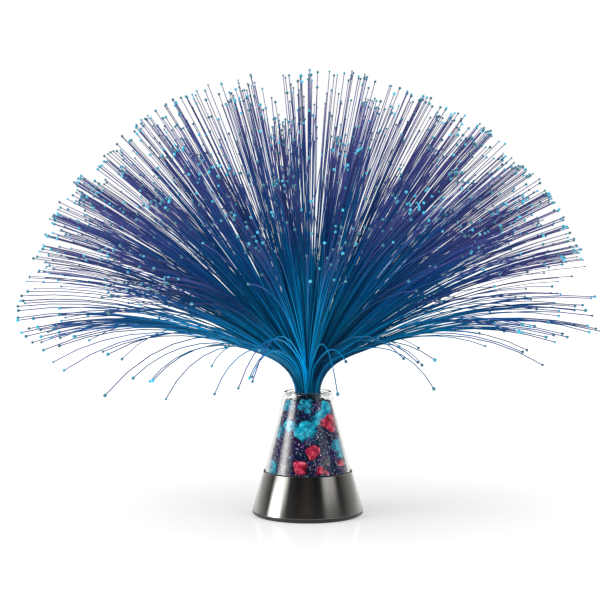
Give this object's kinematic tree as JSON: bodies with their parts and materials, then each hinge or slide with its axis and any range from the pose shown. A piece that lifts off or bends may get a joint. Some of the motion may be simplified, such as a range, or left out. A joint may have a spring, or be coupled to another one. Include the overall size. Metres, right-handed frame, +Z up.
{
  "type": "fibre optic lamp",
  "caption": "Battery table lamp: a metal-skirted round base, a clear cone filled with coloured stones, and a removable spray of bendy optical fibres lit from below.",
  "frame": {"origin": "on the floor under the middle of the base, in the plane of the rubber foot", "axes": "+Z up along the tube and the bundle; the battery door's hinge is on the -X side and the switch is at -Y, the front"},
  "size_m": [0.4445, 0.4413, 0.3441],
  "materials": {
    "black_rubber": "matt rubber",
    "black_plastic": "fine moulded texture",
    "brushed_gunmetal": "dark, brushed round the axis",
    "white_plastic": "satin moulded",
    "clear_glass": "clear and polished",
    "clear_plastic": "clear moulded",
    "smoked_plastic": "smoked and glossy",
    "zinc_steel": "bright zinc plate",
    "nickel_steel": "nickel plate",
    "board_green": "lacquered board",
    "led_body": "white case with a clear lens",
    "reflector": "metallised",
    "component_black": "moulded epoxy",
    "can_aluminium": "satin",
    "cell_wrap": "plain dark wrap",
    "red_sleeve": "smooth insulation",
    "black_sleeve": "smooth insulation",
    "yellow_sleeve": "smooth insulation",
    "teal_glass": "tumbled glass with facets",
    "red_glass": "tumbled glass with facets",
    "pale_glass": "tumbled glass with facets",
    "purple_glitter": "dark purple glittering grit",
    "fibre_acrylic": "clear acrylic fibre, lit blue",
    "potted_fibre": "fibres glued side by side"
  },
  "bodies": {
    "base": {"rubber_foot": "black_rubber", "base_pan": "black_plastic", "pan_screws": "zinc_steel", "metal_skirt": "brushed_gunmetal", "upper_tray": "white_plastic", "glass_cone": "clear_glass", "seal_ring": "black_rubber", "mouth_ring": "clear_plastic", "centre_tube": "smoked_plastic", "light_window": "clear_plastic", "led_board": "board_green", "board_screws": "zinc_steel", "colour_led": "led_body", "reflector_cup": "reflector", "resistors": "component_black", "colour_controller": "component_black", "capacitor": "can_aluminium", "battery_cell_1": "cell_wrap", "battery_cell_2": "cell_wrap", "battery_cell_3": "cell_wrap", "contact_plus": "nickel_steel", "contact_minus": "nickel_steel", "bridge_left": "nickel_steel", "bridge_right": "nickel_steel", "contact_springs": "nickel_steel", "red_lead": "red_sleeve", "black_lead": "black_sleeve", "switch_lead": "yellow_sleeve", "switch_body": "component_black", "switch_screws": "zinc_steel", "teal_stones": "teal_glass", "red_stones": "red_glass", "clear_stones": "pale_glass", "purple_stones": "purple_glitter"},
    "spray": {"bundle_core": "potted_fibre", "bundle_ferrule": "black_plastic", "inner_fibres": "fibre_acrylic", "middle_fibres": "fibre_acrylic", "outer_fibres": "fibre_acrylic"},
    "door": {"battery_door": "black_plastic"},
    "knob": {"switch_knob": "black_plastic"}
  },
  "joints": [
    {"name": "spray_lift", "type": "slide", "parent": "base", "child": "spray", "axis": [0, 0, 1], "range_m": [0, 0.07]},
    {"name": "door_hinge", "type": "hinge", "parent": "base", "child": "door", "pos_m": [-0.0274, 0, 0.0022], "axis": [0, 1, 0], "range_deg": [0, 95]},
    {"name": "switch_slide", "type": "slide", "parent": "base", "child": "knob", "axis": [1, 0, 0], "range_m": [0, 0.004]}
  ]
}
